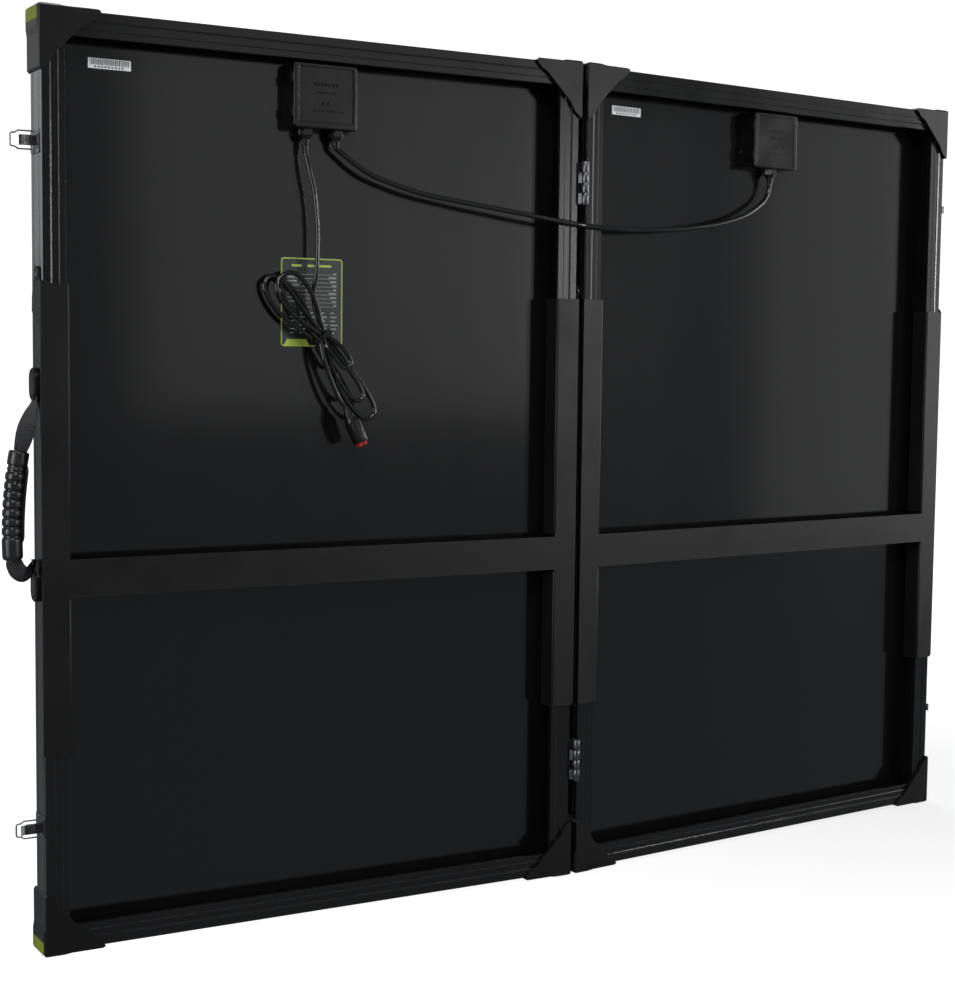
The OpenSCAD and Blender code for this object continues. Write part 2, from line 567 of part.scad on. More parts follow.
module output_lead() color(black) cord(path(lead_route, 3), lead_r, 10);
module cable_hank_all() color(black) cable_hank();
module cable_tie_all() color(black) cable_tie();
module connector_body_all() color(black) connector_body();
module connector_tip_all() color([0.75, 0.1, 0.1]) connector_tip();
module link_cable() color(black) cord(path(link_route, 2), link_r, 10);

left_rail_top();
left_rail_bottom();
left_rail_outer();
left_rail_hinge();
left_corner_keys();
left_corner_caps();
left_cap_accents();
left_glass();
left_cells();
left_ribbons();
left_encapsulant();
left_backsheet();
left_box_base();
left_box_lid();
left_box_terminals();
left_box_glands();
left_serial_label();
rating_label_all();  // rating_label
left_hinge_leaves();
left_rivets();
left_kickstand_pivots();
kickstand_left();
right_rail_top();
right_rail_bottom();
right_rail_outer();
right_rail_hinge();
right_corner_keys();
right_corner_caps();
right_cap_accents();
right_glass();
right_cells();
right_ribbons();
right_encapsulant();
right_backsheet();
right_box_base();
right_box_lid();
right_box_terminals();
right_box_gland();
right_serial_label();
right_hinge_leaves();
right_rivets();
right_kickstand_pivots();
kickstand_right();
hinge_pins_all();  // hinge_pins
latch_bases();
latch_catches_all();  // latch_catches
lever_at(latch_zs[0]);  // latch_lever_upper
lever_at(latch_zs[1]);  // latch_lever_lower
bail_at(latch_zs[0]);  // latch_bail_upper
bail_at(latch_zs[1]);  // latch_bail_lower
handle_anchors_all();  // handle_anchors
handle_webbing_all();  // handle_webbing
handle_grip_all();  // handle_grip
output_lead();
cable_hank_all();  // cable_hank
cable_tie_all();  // cable_tie
connector_body_all();  // connector_body
connector_tip_all();  // connector_tip
link_cable();
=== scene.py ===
"""Looks of the folding two-panel solar panel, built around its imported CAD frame. Lengths are in metres."""

import math

import bmesh
import bpy
from mathutils import Matrix, Vector


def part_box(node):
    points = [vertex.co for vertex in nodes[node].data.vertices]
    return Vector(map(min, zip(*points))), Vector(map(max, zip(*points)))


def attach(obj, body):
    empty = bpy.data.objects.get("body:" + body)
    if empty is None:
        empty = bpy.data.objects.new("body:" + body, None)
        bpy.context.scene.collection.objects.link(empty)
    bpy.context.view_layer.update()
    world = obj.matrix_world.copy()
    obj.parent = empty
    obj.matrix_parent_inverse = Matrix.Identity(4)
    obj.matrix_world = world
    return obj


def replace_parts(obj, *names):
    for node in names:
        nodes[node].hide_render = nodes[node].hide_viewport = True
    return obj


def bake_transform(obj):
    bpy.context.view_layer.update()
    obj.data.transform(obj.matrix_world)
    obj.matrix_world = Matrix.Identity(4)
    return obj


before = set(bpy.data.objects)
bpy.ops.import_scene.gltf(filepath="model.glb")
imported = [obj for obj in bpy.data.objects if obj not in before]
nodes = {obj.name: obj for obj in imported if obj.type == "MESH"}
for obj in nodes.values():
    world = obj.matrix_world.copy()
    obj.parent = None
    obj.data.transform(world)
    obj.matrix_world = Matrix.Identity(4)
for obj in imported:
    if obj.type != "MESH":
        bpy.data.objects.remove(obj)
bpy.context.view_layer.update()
MM = 0.001

# ---------- places taken from the frame ----------
SHEET_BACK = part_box("left_backsheet")[0].y            # back face of the left backsheet
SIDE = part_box("left_rail_outer")[0].x                 # outer side face of the left panel
AXIS = Vector((6.6, -6, 0)) * MM                      # fold axis, beside and behind the frame's edge
OVER_OPEN = math.radians(6.15)                        # the panels open this far past flat
TO_RIGHT = (Matrix.Translation(AXIS) @ Matrix.Rotation(OVER_OPEN, 4, "Z")
            @ Matrix.Translation((AXIS.x, -AXIS.y, 0)))
LATCH_HEIGHTS = {"upper": 874 * MM, "lower": 142 * MM}


def millimetres(*p):
    return Vector(p) * MM


# ---------- camera ----------
CAMERA_PLACE = (-1.2329, -1.8841, 0.6543)
CAMERA_ANGLES = (30.154, 4.55, 0.6525)                 # yaw, downward pitch and roll, in degrees
CAMERA_LENS = 65.06


def add_camera():
    yaw, pitch, roll = (math.radians(a) for a in CAMERA_ANGLES)
    forward = Vector((math.sin(yaw) * math.cos(pitch), math.cos(yaw) * math.cos(pitch), -math.sin(pitch)))
    right = Vector((math.cos(yaw), -math.sin(yaw), 0))
    up = right.cross(forward)
    right_rolled = math.cos(roll) * right + math.sin(roll) * up
    up_rolled = math.cos(roll) * up - math.sin(roll) * right
    camera = bpy.data.objects.new("camera", bpy.data.cameras.new("camera"))
    camera.data.lens = CAMERA_LENS
    camera.data.sensor_width = 36
    camera.data.clip_end = 100
    axes = Matrix((right_rolled, up_rolled, -forward)).transposed()
    camera.matrix_world = Matrix.Translation(CAMERA_PLACE) @ axes.to_4x4()
    bpy.context.scene.collection.objects.link(camera)
    bpy.context.scene.camera = camera


add_camera()


# ---------- materials ----------
WAVE_TURN = 6.28                                       # phase of one band of the wave texture
WAVE_RATE = 20                                         # phase that it turns through per unit of scale
HIGHLIT_WORN_COSINES = (0.995, 0.93)                           # from the edge's first softening to its full painted highlight and wear


class Shader:
    """A Principled material whose colour, roughness and relief come from procedural nodes."""

    def __init__(self, name, colour, roughness, metallic=0.0, **sockets):
        self.material = bpy.data.materials.new(name)
        self.material.use_nodes = True
        self.tree = self.material.node_tree
        self.bsdf = self.tree.nodes["Principled BSDF"]
        self.bsdf.inputs["Base Color"].default_value = (*colour, 1)
        self.bsdf.inputs["Roughness"].default_value = roughness
        self.bsdf.inputs["Metallic"].default_value = metallic
        for socket, value in sockets.items():
            self.bsdf.inputs[socket.replace("_", " ")].default_value = value
        self.colour, self.roughness = colour, roughness
        self.colour_out = None
        self.normal_out = None
        self.coords = self.node("ShaderNodeTexCoord").outputs["Object"]

    def node(self, kind, **settings):
        made = self.tree.nodes.new(kind)
        for key, value in settings.items():
            if key in made.inputs:
                made.inputs[key].default_value = value
            else:
                setattr(made, key, value)
        return made

    def link(self, a, b):
        self.tree.links.new(a, b)

    def noise(self, scale, detail=3.0, stretch=(1, 1, 1)):
        mapping = self.node("ShaderNodeMapping")
        mapping.inputs["Scale"].default_value = stretch
        made = self.node("ShaderNodeTexNoise", Scale=scale, Detail=detail)
        self.link(self.coords, mapping.inputs["Vector"])
        self.link(mapping.outputs["Vector"], made.inputs["Vector"])
        return made.outputs["Fac"]

    def bands(self, scale, direction, distortion=0.0):
        made = self.node("ShaderNodeTexWave", Scale=scale, Distortion=distortion)
        made.bands_direction = direction
        self.link(self.coords, made.inputs["Vector"])
        return made.outputs["Fac"]

    def ramp(self, fac, low, high):
        made = self.node("ShaderNodeMapRange")
        made.inputs["From Min"].default_value, made.inputs["From Max"].default_value = low
        made.inputs["To Min"].default_value, made.inputs["To Max"].default_value = high
        self.link(fac, made.inputs["Value"])
        return made.outputs["Result"]

    def mix(self, fac, other):
        """Mixes another colour over the present one by fac."""
        made = self.node("ShaderNodeMix", data_type="RGBA")
        self.link(fac, made.inputs["Factor"])
        if self.colour_out:
            self.link(self.colour_out, made.inputs[6])
        else:
            made.inputs[6].default_value = (*self.colour, 1)
        made.inputs[7].default_value = (*other, 1)
        self.colour_out = made.outputs[2]
        self.link(self.colour_out, self.bsdf.inputs["Base Color"])
        return self

    def mottle(self, scale=8, amount=0.3, stretch=(1, 1, 1)):
        fac = self.ramp(self.noise(scale, 4, stretch), (0.35, 0.7), (0, 1))
        return self.mix(fac, tuple(c * (1 + amount) for c in self.colour))

    def smudge(self, scale=5, amount=0.1, stretch=(1, 1, 1)):
        fac = self.noise(scale, 5, stretch)
        low, high = self.roughness - amount, self.roughness + amount
        self.link(self.ramp(fac, (0.3, 0.7), (max(low, 0.03), high)), self.bsdf.inputs["Roughness"])
        return self

    def relief(self, height, strength, depth):
        made = self.node("ShaderNodeBump", Strength=strength, Distance=depth)
        self.link(height, made.inputs["Height"])
        if self.normal_out:
            self.link(self.normal_out, made.inputs["Normal"])
        self.normal_out = made.outputs["Normal"]
        self.link(self.normal_out, self.bsdf.inputs["Normal"])
        return self

    def grain(self, size, strength, stretch=(1, 1, 1)):
        """Fine relief with lumps of about that size."""
        return self.relief(self.noise(0.8 / size, 2, stretch), strength, size * 0.4)

    def highlit_worn_edges(self, colour, width, amount=0.8):
        """Lightens sharp edges: a painted edge highlight, and partly the finish rubbed through there."""
        bevel = self.node("ShaderNodeBevel", samples=4)
        bevel.inputs["Radius"].default_value = width
        geometry = self.node("ShaderNodeNewGeometry")
        dot = self.node("ShaderNodeVectorMath", operation="DOT_PRODUCT")
        self.link(bevel.outputs["Normal"], dot.inputs[0])
        self.link(geometry.outputs["Normal"], dot.inputs[1])
        edge = self.ramp(dot.outputs["Value"], HIGHLIT_WORN_COSINES, (0, amount))
        patchy = self.node("ShaderNodeMath", operation="MULTIPLY")
        self.link(edge, patchy.inputs[0])
        self.link(self.ramp(self.noise(90, 4), (0.42, 0.62), (0.15, 1)), patchy.inputs[1])
        return self.mix(patchy.outputs["Value"], colour)


def make_materials():
    m = {}
    m["frame"] = Shader("anodised_black", (0.004, 0.004, 0.0042), 0.14, 0.0, Specular_IOR_Level=0.38)
    m["frame"].mottle(9, 0.35, (1, 1, 0.2)).smudge(14, 0.025, (1, 1, 0.1)).grain(0.5 * MM, 0.02)
    # edges lightened: painted edge highlight, with some wear
    m["frame"].highlit_worn_edges((0.10, 0.10, 0.105), 0.4 * MM, 0.5)
    m["key_alloy"] = Shader("cast_alloy", (0.55, 0.55, 0.56), 0.42, 1.0)
    m["key_alloy"].mottle(30, 0.2).grain(0.8 * MM, 0.3)
    m["cap_plastic"] = Shader("cap_plastic", (0.004, 0.004, 0.0042), 0.36, 0.0, Specular_IOR_Level=0.2)
    m["cap_plastic"].mottle(18, 0.3).smudge(12, 0.05).grain(0.7 * MM, 0.3)
    # edges lightened: painted edge highlight, with some wear
    m["cap_plastic"].highlit_worn_edges((0.06, 0.06, 0.063), 0.8 * MM, 0.35)
    m["accent"] = Shader("lime_rubber", (0.19, 0.225, 0.012), 0.5, 0.0, Specular_IOR_Level=0.15)
    m["accent"].mottle(40, 0.3).grain(0.6 * MM, 0.25)
    m["glass"] = Shader("tempered_glass", (0.95, 0.97, 0.98), 0.04, 0.0, Transmission_Weight=1.0, IOR=1.5)
    m["glass"].smudge(4, 0.01).grain(6 * MM, 0.0015)
    m["cell"] = Shader("silicon_cell", (0.006, 0.008, 0.022), 0.28, 0.0, Coat_Weight=0.6, Coat_Roughness=0.08)
    m["cell"].mottle(14, 0.12)
    m["cell"].mix(m["cell"].ramp(m["cell"].bands(200, "Z"), (0.93, 1), (0, 0.35)), (0.12, 0.12, 0.14))
    m["ribbon"] = Shader("tinned_ribbon", (0.62, 0.62, 0.63), 0.3, 1.0).smudge(60, 0.1).mottle(80, 0.15)
    m["encapsulant"] = Shader("black_film", (0.012, 0.012, 0.014), 0.3).mottle(20, 0.2).smudge(9, 0.05)
    m["backsheet"] = Shader("backsheet_film", (0.004, 0.004, 0.0043), 0.11)
    m["backsheet"].mottle(1.6, 0.22, (1, 1, 0.5)).smudge(2.2, 0.015, (5, 1, 0.25)).grain(0.9 * MM, 0.03)
    m["backsheet"].relief(m["backsheet"].noise(4, 2, (4, 1, 0.3)), 0.12, 0.2 * MM)
    m["box_plastic"] = Shader("box_plastic", (0.004, 0.004, 0.0042), 0.2, 0.0, Specular_IOR_Level=0.32)
    m["box_plastic"].mottle(30, 0.3).smudge(25, 0.05).grain(0.5 * MM, 0.12)
    m["mark_black"] = Shader("moulded_mark", (0.0015, 0.0015, 0.0016), 0.5, 0.0, Specular_IOR_Level=0.12)
    m["mark_black"].mottle(60, 0.3).smudge(60, 0.05)
    m["brass"] = Shader("brass", (0.62, 0.42, 0.16), 0.28, 1.0).smudge(60, 0.08).mottle(50, 0.1)
    m["label_white"] = Shader("label_white", (0.92, 0.93, 0.93), 0.35).mottle(60, 0.05).smudge(40, 0.05)
    m["label_dark"] = Shader("label_dark", (0.011, 0.0115, 0.0115), 0.27).mottle(40, 0.15).smudge(30, 0.06)
    m["label_lime"] = Shader("label_lime", (0.33, 0.42, 0.05), 0.3).mottle(80, 0.12).smudge(40, 0.05)
    m["label_grey"] = Shader("label_grey", (0.30, 0.31, 0.31), 0.3).mottle(80, 0.12).smudge(40, 0.05)
    m["steel"] = Shader("dark_zinc", (0.10, 0.10, 0.105), 0.36, 1.0).smudge(50, 0.1).mottle(60, 0.35)
    m["steel"].grain(0.4 * MM, 0.1)
    # edges lightened towards bright metal: painted edge highlight, with some wear
    m["steel"].highlit_worn_edges((0.5, 0.5, 0.52), 0.3 * MM, 0.7)
    m["stand_paint"] = Shader("powder_coat", (0.0045, 0.0045, 0.0048), 0.38, 0.0, Specular_IOR_Level=0.21)
    m["stand_paint"].mottle(24, 0.25).smudge(16, 0.06).grain(1.1 * MM, 0.38).grain(0.35 * MM, 0.2)
    # edges lightened: painted edge highlight, with some wear
    m["stand_paint"].highlit_worn_edges((0.09, 0.09, 0.095), 0.5 * MM, 0.5)
    m["lever_paint"] = Shader("lever_paint", (0.006, 0.006, 0.0063), 0.3, 0.0, Specular_IOR_Level=0.3)
    m["lever_paint"].mottle(60, 0.2).smudge(60, 0.08)
    # edges lightened strongly: painted highlight on the lever's bends, with some wear
    m["lever_paint"].grain(0.4 * MM, 0.1).highlit_worn_edges((0.45, 0.45, 0.46), 0.5 * MM, 0.9)
    m["wire"] = Shader("plated_wire", (0.17, 0.17, 0.175), 0.25, 1.0).smudge(150, 0.08).mottle(90, 0.15)
    m["chrome"] = Shader("lever_tip_plating", (0.62, 0.62, 0.63), 0.3, 1.0).smudge(120, 0.06).mottle(90, 0.08)
    m["webbing"] = Shader("nylon_webbing", (0.006, 0.006, 0.0063), 0.55, 0.0, Sheen_Weight=0.08)
    m["weave_patch"] = Shader("woven_patch", (0.012, 0.012, 0.013), 0.6).mottle(300, 0.8).smudge(90, 0.1)
    rows = m["weave_patch"].bands(1 / (WAVE_RATE * 1.2 * MM) * WAVE_TURN, "Z", 1.5)
    m["weave_patch"].relief(rows, 0.8, 0.5 * MM)
    # raised rows lightened by their height: a painted sheen on the woven patch
    m["weave_patch"].mix(m["weave_patch"].ramp(rows, (0.5, 1), (0, 0.6)), (0.05, 0.05, 0.055))
    m["grip_rubber"] = Shader("grip_rubber", (0.007, 0.007, 0.0075), 0.3).mottle(60, 0.3).smudge(40, 0.08)
    m["grip_rubber"].grain(0.6 * MM, 0.2)
    m["cable_jacket"] = Shader("cable_jacket", (0.004, 0.004, 0.0043), 0.12).mottle(60, 0.3).smudge(50, 0.04)
    m["cable_jacket"].grain(0.5 * MM, 0.04)
    m["red_plastic"] = Shader("red_plastic", (0.48, 0.012, 0.014), 0.3).mottle(90, 0.2).smudge(60, 0.06)
    return m


def weave(shader, pitch):
    """Rows of crossing threads, from the strip's own lengthwise and crosswise coordinates."""
    shader.coords = shader.node("ShaderNodeTexCoord").outputs["UV"]
    scale = 1 / (WAVE_RATE * pitch) * WAVE_TURN
    across = shader.bands(scale, "X", 0.4)
    lengthwise = shader.bands(scale, "Y", 0.4)
    product = shader.node("ShaderNodeMath", operation="MULTIPLY")
    shader.link(across, product.inputs[0])
    shader.link(lengthwise, product.inputs[1])
    shader.relief(product.outputs["Value"], 0.9, 0.7 * MM)
    # thread tops lightened by their height: a painted sheen on the weave
    shader.mix(shader.ramp(product.outputs["Value"], (0.25, 0.9), (0, 1)), (0.075, 0.075, 0.08))


shaders = make_materials()
weave(shaders["webbing"], 2.3 * MM)


# ---------- mesh helpers ----------
def finish_piece(obj, material, body=None, bevel=None, smooth=40):
    obj.data.materials.append(shaders[material].material)
    if obj.type == "MESH":
        for polygon in obj.data.polygons:
            polygon.use_smooth = True
        obj.data.set_sharp_from_angle(angle=math.radians(smooth))
    if bevel:
        round_edges(obj, bevel)
    if body:
        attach(obj, body)
    return obj


def round_edges(obj, width, segments=2, weld=False):
    if weld:
        obj.modifiers.new("weld", "WELD").merge_threshold = 1e-5
    bevel = obj.modifiers.new("bevel", "BEVEL")
    bevel.width = width
    bevel.segments = segments
    bevel.limit_method = "ANGLE"
    bevel.angle_limit = math.radians(35)
    bevel.harden_normals = True


def mesh_piece(name, vertices, faces):
    mesh = bpy.data.meshes.new(name)
    mesh.from_pydata([tuple(v) for v in vertices], [], faces)
    mesh.validate()
    obj = bpy.data.objects.new(name, mesh)
    bpy.context.scene.collection.objects.link(obj)
    return obj


class Builder:
    """Collects solids for one piece, through a placing matrix."""

    def __init__(self, place=Matrix.Identity(4)):
        self.vertices, self.faces, self.place = [], [], place

    def add(self, vertices, faces):
        start = len(self.vertices)
        self.vertices += [self.place @ Vector(v) for v in vertices]
        self.faces += [tuple(i + start for i in f) for f in faces]

    def prism(self, outline, low, high, axis=1):
        """An outline drawn in the two other axes, extruded along one axis."""
        others = [a for a in range(3) if a != axis]
        points = []
        for level in (low, high):
            for p in outline:
                point = [0, 0, 0]
                point[others[0]], point[others[1]], point[axis] = p[0], p[1], level
                points.append(point)
        n = len(outline)
        sides = [(i, (i + 1) % n, n + (i + 1) % n, n + i) for i in range(n)]
        self.add(points, [tuple(reversed(range(n))), tuple(range(n, 2 * n))] + sides)

    def box(self, low, high):
        corners = [(low[0], low[2]), (high[0], low[2]), (high[0], high[2]), (low[0], high[2])]
        self.prism(corners, low[1], high[1])

    def frame_ring(self, outer, inner, low, high):
        """A flat ring between two outlines of the same number of points, with its thickness along y."""
        n = len(outer)
        points = [(p[0], level, p[1]) for level in (low, high) for ring in (outer, inner) for p in ring]
        faces = []
        for i in range(n):
            k = (i + 1) % n
            faces += [(i, k, n + k, n + i), (2 * n + i, 3 * n + i, 3 * n + k, 2 * n + k),
                      (i, 2 * n + i, 2 * n + k, k), (n + i, n + k, 3 * n + k, 3 * n + i)]
        self.add(points, faces)

    def skin(self, rings, closed=False):
        n, m = len(rings), len(rings[0])
        faces = [(i * m + j, i * m + (j + 1) % m, ((i + 1) % n) * m + (j + 1) % m, ((i + 1) % n) * m + j)
                 for i in range(n if closed else n - 1) for j in range(m)]
        if not closed:
            faces += [tuple(reversed(range(m))), tuple(range((n - 1) * m, n * m))]
        self.add([p for ring in rings for p in ring], faces)

    def tube(self, path, radius, sides=16, closed=False):
        """A tube along a path; radius is a number or a function of the distance along it."""
        self.skin(tube_rings(path, radius, sides, closed), closed)

    def piece(self, name):
        obj = mesh_piece(name, self.vertices, self.faces)
        mesh = bmesh.new()
        mesh.from_mesh(obj.data)
        bmesh.ops.recalc_face_normals(mesh, faces=mesh.faces)
        mesh.to_mesh(obj.data)
        mesh.free()
        return obj


def rounded(width, height, radius, centre=(0, 0), steps=5):
    """Outline of a rectangle with round corners."""
    points = []
    for k, (sx, sy) in enumerate(((1, 1), (-1, 1), (-1, -1), (1, -1))):
        for i in range(steps + 1):
            a = math.radians(90 * k + 90 * i / steps)
            points.append((centre[0] + sx * (width / 2 - radius) + radius * math.cos(a),
                           centre[1] + sy * (height / 2 - radius) + radius * math.sin(a)))
    return points


def smooth_path(points, step):
    """Catmull-Rom curve through the points, sampled about every step."""
    made = []
    last = len(points) - 1
    for i in range(last):
        a, b, c, d = points[max(i - 1, 0)], points[i], points[i + 1], points[min(i + 2, last)]
        count = max(1, round((c - b).length / step))
        for k in range(count):
            t = k / count
            made.append(0.5 * (2 * b + (c - a) * t + (2 * a - 5 * b + 4 * c - d) * t * t
                               + (3 * b - a - 3 * c + d) * t ** 3))
    return made + [points[-1]]


def rounded_path(points, radius, steps=6):
    """Straight runs joined by round corners, closed."""
    made = []
    n = len(points)
    for i in range(n):
        before, here, after = points[i - 1], points[i], points[(i + 1) % n]
        one, two = (before - here), (after - here)
        cut = min(radius, one.length * 0.45, two.length * 0.45)
        start, end = here + one.normalized() * cut, here + two.normalized() * cut
        for k in range(steps + 1):
            t = k / steps
            made.append((1 - t) ** 2 * start + 2 * t * (1 - t) * here + t * t * end)
    return made


def tube_rings(path, radius, sides, closed=False):
    """Rings about a path, turned as little as possible from one to the next."""
    rings, along, side = [], 0.0, None
    n = len(path)
    for i, point in enumerate(path):
        if closed:
            tangent = (path[(i + 1) % n] - path[i - 1]).normalized()
        else:
            tangent = (path[min(i + 1, n - 1)] - path[max(i - 1, 0)]).normalized()
        if side is None:
            side = tangent.orthogonal().normalized()
        side = (side - tangent * side.dot(tangent)).normalized()
        up = tangent.cross(side)
        along += (point - path[i - 1]).length if i else 0
        r = radius(along) if callable(radius) else radius
        rings.append([point + r * (math.cos(a) * side + math.sin(a) * up)
                      for a in (2 * math.pi * j / sides for j in range(sides))])
    return rings


def length_of(path):
    return sum((b - a).length for a, b in zip(path, path[1:]))


# ---------- cords ----------
LEAD_RADIUS = 2.6 * MM
LINK_RADIUS = 3 * MM
LEAD_ROUTE = [millimetres(*p) for p in (
    (-360, 17.5, 898), (-360, 17.5, 890), (-359.5, 16.5, 880), (-356, 13.8, 862), (-350.5, 12.8, 838),
    (-347, 12.7, 804), (-346.5, 12.7, 778), (-347, 13.5, 752), (-348.5, 16, 736), (-349, 17.5, 728))]
HANK = (Matrix.Translation(millimetres(-342, 11, 674)) @ Matrix.Rotation(math.radians(55), 4, "Y")
        @ Matrix.Rotation(math.radians(-7.4), 4, "Z"))
CONNECTOR = (Matrix.Translation(millimetres(-314, -0.5, 590)) @ Matrix.Rotation(math.radians(67.2), 4, "Y")
             @ Matrix.Rotation(math.radians(-6.6), 4, "Z"))


def in_hank(along, across, depth):
    """A point of the hank: along its long axis, across it, and toward the backsheet."""
    return HANK @ millimetres(along, depth, across)


def fold(reach, out_side, back_side, depth, start, end):
    """One fold of the hank: from the tie at start, round its end at reach, and back to the tie at end."""
    middle, half = (out_side + back_side) / 2, (out_side - back_side) / 2
    leg = ((0.12, 0.15), (0.3, 0.55), (0.52, 0.92), (0.74, 1.0))
    shoulder = ((0.9, 0.82), (0.98, 0.4))
    points = []
    for side, tie, order in ((1, start, 1), (-1, end, -1)):
        run = []
        for share, spread in leg:
            edge = middle + side * half
            level = tie[1] + (depth - tie[1]) * min(1, share / 0.4)
            run.append((reach * share, tie[0] + (edge - tie[0]) * spread, level))
        for share, spread in shoulder:
            run.append((reach * share, middle + side * half * spread, depth))
        points += run[::order]
    return points


# where the seven runs pass through the tie: (across, depth)
TIE_PASSES = [(8.4, 2.7), (-8.4, 2.7), (2.8, 2.7), (0, -2.7), (5.6, -2.7), (-2.8, 2.7), (-5.6, -2.7)]
# folds in order: reach, side on the way out, side on the way back, depth
FOLDS = [(111, 9.5, -17.5, 4.5), (-91, -26, 1, 0), (86, 5, -13, -0.6), (-84, -16, 19.5, -5.2),
         (46, 12.5, -2.5, -5.6), (-74, 7.5, -8.5, 5)]
# the last run, from the tie to the connector: along, across, depth
TAIL = [(4, -6, -2.8), (12, -9.5, -3.2), (24, -14.8, -3.2), (41, -19.8, -2.6), (60, -24, -1.6),
        (74, -25.5, -0.6)]


def lead_points():
    points = list(LEAD_ROUTE)
    points += [in_hank(*p) for p in ((-34, 16.5, 4.4), (-18, 11, 3.6), (-7, 9, 2.8))]
    for i, (reach, out_side, back_side, depth) in enumerate(FOLDS):
        points.append(in_hank(0, *TIE_PASSES[i]))
        turn = fold(reach, out_side, back_side, depth, TIE_PASSES[i], TIE_PASSES[i + 1])
        points += [in_hank(*p) for p in turn]
    points.append(in_hank(0, *TIE_PASSES[-1]))
    points += [in_hank(*p) for p in TAIL]
    points += [CONNECTOR @ millimetres(x, 0, 0) for x in (-3, 0, 4)]
    return smooth_path(points, 2 * MM)


def curve_piece(name, path, radius):
    curve = bpy.data.curves.new(name, "CURVE")
    curve.dimensions = "3D"
    curve.bevel_depth = radius
    curve.bevel_resolution = 5
    curve.use_fill_caps = True
    spline = curve.splines.new("POLY")
    spline.points.add(len(path) - 1)
    for point, place in zip(spline.points, path):
        point.co = (*place, 1)
    obj = bpy.data.objects.new(name, curve)
    bpy.context.scene.collection.objects.link(obj)
    return obj


def strain_relief(name, route, cable_radius, body, reach):
    """A short ribbed sleeve that follows the cable from its gland and tapers onto it."""
    root, end = cable_radius + 1.2 * MM, cable_radius + 0.3 * MM
    fine = smooth_path(route[:6], 0.5 * MM)
    count = next(i for i in range(2, len(fine)) if length_of(fine[:i]) > reach)

    def radius(along):
        rib = 0.25 * MM if along % (3 * MM) < 1.5 * MM and along < reach - 3 * MM else 0
        return root + (end - root) * min(1, along / reach) + rib
    made = Builder()
    made.tube(fine[:count], radius, 24)
    return finish_piece(made.piece(name), "box_plastic", body)


def connector_shell():
    """Two-part moulded plug body with a boot, grip ribs and a recess for the contact block."""
    boot = Builder(CONNECTOR)
    boot_path = [millimetres(x * 0.5 - 3, 0, 0) for x in range(26)]

    def boot_radius(along):
        return (3.4 + 2.2 * min(1, along / (9 * MM)) + (0.4 if int(along / (1.5 * MM)) % 2 else 0)) * MM
    boot.tube(boot_path, boot_radius, 24)
    finish_piece(boot.piece("connector_boot"), "box_plastic", "left_panel")

    shell = Builder(CONNECTOR)
    outline = rounded(16 * MM, 14 * MM, 3 * MM)
    stations = ((8, 0.72), (9, 0.84), (12, 0.9), (13, 0.98), (14, 1), (39, 1), (39.8, 0.97), (40, 0.9),
                (40, 0.79), (31, 0.77))
    rings = [[(x * MM, p[1] * s, p[0] * s) for p in outline] for x, s in stations]
    shell.skin(rings)
    for side in (-1, 1):
        for k in range(5):
            x = 17 + 3.2 * k
            shell.box(millimetres(x, -5, side * 7.7), millimetres(x + 1.6, 5, side * 8.4))
    shell.box(millimetres(15, -7.5, -1.6), millimetres(37, -6.8, 1.6))
    shell.box(millimetres(15, -7.4, -6), millimetres(25, -6.8, -3.4))
    piece = finish_piece(shell.piece("connector_shell"), "box_plastic", "left_panel", bevel=0.25 * MM)
    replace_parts(piece, "connector_body")

    block = Builder(CONNECTOR)
    contact = rounded(5.4 * MM, 9.6 * MM, 1.2 * MM)
    contact_stations = ((31, 1), (43, 1), (43.9, 0.86), (43.9, 0.5), (39, 0.45))
    for side in (-1, 1):
        block.skin([[(x * MM, p[1] * s, p[0] * s + side * 2.9 * MM) for p in contact]
                    for x, s in contact_stations])
    tip = finish_piece(block.piece("connector_contact_block"), "red_plastic", "left_panel")
    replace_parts(tip, "connector_tip")
    return [bpy.data.objects["connector_boot"], piece, tip]


def cable_tie():
    """Flat tie drawn round the hank, with its locking head and short tail."""
    made = Builder(HANK)
    path = [Vector((0, p[1], p[0])) for p in rounded(25.4 * MM, 17 * MM, 5.5 * MM, steps=8)]
    section = ((-2.2, -0.6), (-1.6, -0.7), (1.6, -0.7), (2.2, -0.6), (2.2, 0.4), (-2.2, 0.4))
    rings = []
    for i, p in enumerate(path):
        tangent = (path[(i + 1) % len(path)] - path[i - 1]).normalized()
        out = Vector((1, 0, 0)).cross(tangent)
        rings.append([p + Vector((x * MM, 0, 0)) + out * y * MM for x, y in section])
    made.skin(rings, closed=True)
    made.box(millimetres(-3, -11.6, 2.2), millimetres(3, -8.4, 8.4))
    made.box(millimetres(-2, -12.4, -3), millimetres(2, -11.2, 10.5))
    tie = finish_piece(made.piece("hank_tie"), "box_plastic", "left_panel", bevel=0.3 * MM)
    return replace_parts(tie, "cable_tie")


def output_cable():
    path = lead_points()
    cable = curve_piece("output_cable", path, LEAD_RADIUS)
    finish_piece(cable, "cable_jacket", "left_panel")
    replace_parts(cable, "output_lead", "cable_hank")
    relief = strain_relief("lead_relief", LEAD_ROUTE, LEAD_RADIUS, "left_panel", 16 * MM)
    pieces = connector_shell() + [cable_tie(), relief, nodes["left_box_glands"]]


def on_right(x, y, z):
    return TO_RIGHT @ millimetres(x, y, z)


